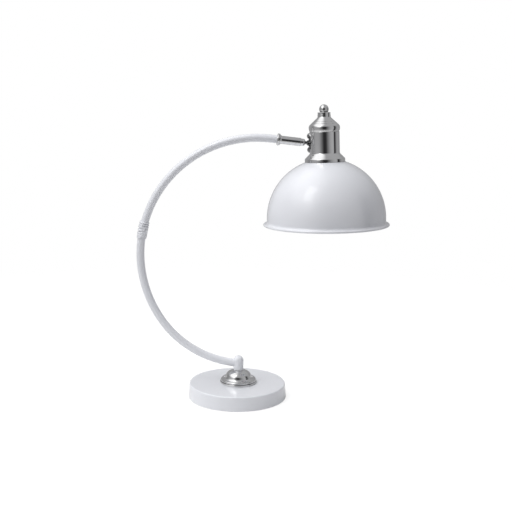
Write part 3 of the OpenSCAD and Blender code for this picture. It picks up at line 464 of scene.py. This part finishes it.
def floor_material():
    """Pale and plain, faded into the white round it and clear from below. The camera sees
    it brighter than it lights the lamp."""
    material = bpy.data.materials.new("floor_white")
    material.use_nodes = True
    material.node_tree.nodes.clear()
    lights_lamp = grey_shader(material, "ShaderNodeBsdfDiffuse", FLOOR_LIGHT)
    seen = add_node(material, "ShaderNodeAddShader")
    link(material, grey_shader(material, "ShaderNodeBsdfDiffuse", FLOOR_SEEN), seen.inputs[0])
    link(material, grey_shader(material, "ShaderNodeBsdfTransparent", WHITE_SEEN), seen.inputs[1])
    to_camera = add_node(material, "ShaderNodeLightPath").outputs["Is Camera Ray"]
    pale = mix_shaders(material, to_camera, lights_lamp, seen.outputs[0])
    distance = add_node(material, "ShaderNodeVectorMath", operation="LENGTH")
    link(material, own_place(material), distance.inputs[0])
    hidden = add_node(material, "ShaderNodeMath", operation="MAXIMUM")
    link(material, spread(material, distance.outputs["Value"], 0.0, 1.0, *FLOOR_FADE),
         hidden.inputs[0])
    link(material, add_node(material, "ShaderNodeNewGeometry").outputs["Backfacing"],
         hidden.inputs[1])
    clear = grey_shader(material, "ShaderNodeBsdfTransparent")
    out = add_node(material, "ShaderNodeOutputMaterial")
    link(material, mix_shaders(material, hidden.outputs[0], pale, clear), out.inputs["Surface"])
    return material


def make_floor():
    shape = bmesh.new()
    bmesh.ops.create_circle(shape, cap_ends=True, segments=FLOOR_SIDES, radius=FLOOR_R)
    mesh = bpy.data.meshes.new("floor")
    shape.to_mesh(mesh)
    shape.free()
    mesh.materials.append(floor_material())
    floor = bpy.data.objects.new("floor", mesh)
    SCENE.collection.objects.link(floor)


# Lights that face the lamp: towards the light, its distance, width, height, power in watts
# and whether the bright metal mirrors it
LIGHTS = {
    "key_light": (KEY_FROM, 1.6, 0.45, 0.8, 2.1, True),
    "left_light": (Vector((-0.6, -0.4, 0.9)), 1.8, 1.2, 1.2, 9.6, False),
    "back_light": (Vector((-0.7, 0.6, 0.9)), 1.8, 1.2, 1.2, 7.2, False),
    "top_light": (Vector((-0.1, 0.0, 1.0)), 1.8, 1.2, 1.2, 3.3, False),
}


def softbox(name, direction, distance, width, height, power, mirrored):
    """A rectangular soft light that faces the lamp."""
    data = bpy.data.lights.new(name, "AREA")
    data.shape = "RECTANGLE"
    data.size = width
    data.size_y = height
    data.energy = power
    light = bpy.data.objects.new(name, data)
    light.location = LAMP_MIDDLE + direction.normalized() * distance
    light.rotation_euler = (-direction).to_track_quat("-Z", "Y").to_euler()
    light.visible_glossy = mirrored
    SCENE.collection.objects.link(light)


# The studio that lights the lamp and shows in its bright metal. Angles are degrees from the
# camera's side towards +X, and the last number is the grey seen there.
STUDIO_WALL = ((-180, 0.38), (-135, 0.42), (-105, 0.32), (-92, 0.32), (-80, 0.44), (-60, 0.46),
               (-44, 0.43), (-25, 0.20), (-13, 0.07), (-9, 0.03), (10, 0.04), (14, 0.12),
               (22, 0.20), (32, 0.34), (46, 0.46), (64, 0.52), (72, 0.36), (75, 0.03),
               (85, 0.04), (90, 0.22), (98, 0.36), (113, 0.44), (129, 0.38), (180, 0.38))
STUDIO_CEILING = 0.48
CEILING_FROM = (0.35, 0.7)  # sine of the height at which the walls turn into the ceiling
# The big softbox high on the left: directions whose product with each vector passes from
# the first number to the second go from dark to lit
SOFTBOX_EDGES = (((-1.0, 0.0, 0.6), 0.55, 0.85), ((0.0, -0.4, 1.0), 0.35, 0.75))
SOFTBOX_GLOW = 0.95
BLUISH = (1.0, 1.0, 1.02)


def studio_room(world, towards):
    """The walls by their angle round the lamp, which turn into the ceiling above."""
    axes = add_node(world, "ShaderNodeSeparateXYZ")
    link(world, towards, axes.inputs[0])
    nearer = add_node(world, "ShaderNodeMath", operation="MULTIPLY")
    nearer.inputs[1].default_value = -1.0
    link(world, axes.outputs["Y"], nearer.inputs[0])
    angle = add_node(world, "ShaderNodeMath", operation="ARCTAN2")
    link(world, axes.outputs["X"], angle.inputs[0])
    link(world, nearer.outputs[0], angle.inputs[1])
    wall = add_node(world, "ShaderNodeValToRGB")
    stops = wall.color_ramp.elements
    while len(stops) < len(STUDIO_WALL):
        stops.new(0.5)
    for stop, (degrees, grey) in zip(stops, STUDIO_WALL):
        stop.position = (degrees + 180) / 360
        stop.color = (*(grey * c for c in BLUISH), 1.0)
    link(world, spread(world, angle.outputs[0], 0.0, 1.0, -math.pi, math.pi), wall.inputs["Fac"])
    room = add_node(world, "ShaderNodeMix", data_type="RGBA")
    room.inputs[SECOND].default_value = (*(STUDIO_CEILING * c for c in BLUISH), 1.0)
    link(world, spread(world, axes.outputs["Z"], 0.0, 1.0, *CEILING_FROM, "SMOOTHSTEP"),
         room.inputs[SHARE])
    link(world, wall.outputs["Color"], room.inputs[FIRST])
    return room.outputs[MIXED]


def softbox_glow(world, towards):
    """The big softbox: lit where both of its edge vectors agree."""
    lit = add_node(world, "ShaderNodeMath", operation="MULTIPLY")
    for i, (across, low, high) in enumerate(SOFTBOX_EDGES):
        facing = add_node(world, "ShaderNodeVectorMath", operation="DOT_PRODUCT")
        facing.inputs[1].default_value = across
        link(world, towards, facing.inputs[0])
        link(world, spread(world, facing.outputs["Value"], 0.0, 1.0, low, high, "SMOOTHSTEP"),
             lit.inputs[i])
    glow = add_node(world, "ShaderNodeMath", operation="MULTIPLY")
    glow.inputs[1].default_value = SOFTBOX_GLOW
    link(world, lit.outputs[0], glow.inputs[0])
    return glow.outputs[0]


def make_world():
    """White where the camera looks past the lamp. What lights and mirrors in the lamp is
    a grey studio with dark gaps in its walls, a pale ceiling and a big softbox."""
    world = bpy.data.worlds.new("studio")
    SCENE.world = world
    world.use_nodes = True
    world.node_tree.nodes.clear()
    towards = add_node(world, "ShaderNodeTexCoord").outputs["Generated"]
    studio = add_node(world, "ShaderNodeMix", data_type="RGBA", blend_type="ADD")
    studio.inputs[SHARE].default_value = 1.0
    link(world, studio_room(world, towards), studio.inputs[FIRST])
    link(world, softbox_glow(world, towards), studio.inputs[SECOND])
    lit = add_node(world, "ShaderNodeBackground")
    link(world, studio.outputs[MIXED], lit.inputs["Color"])
    seen = add_node(world, "ShaderNodeBackground")
    seen.inputs["Color"].default_value = (1.0, 1.0, 1.0, 1.0)
    to_camera = add_node(world, "ShaderNodeLightPath").outputs["Is Camera Ray"]
    out = add_node(world, "ShaderNodeOutputWorld")
    link(world, mix_shaders(world, to_camera, lit.outputs[0], seen.outputs[0]),
         out.inputs["Surface"])


make_floor()
make_world()
for name, values in LIGHTS.items():
    softbox(name, *values)
SCENE.view_settings.view_transform = "Standard"
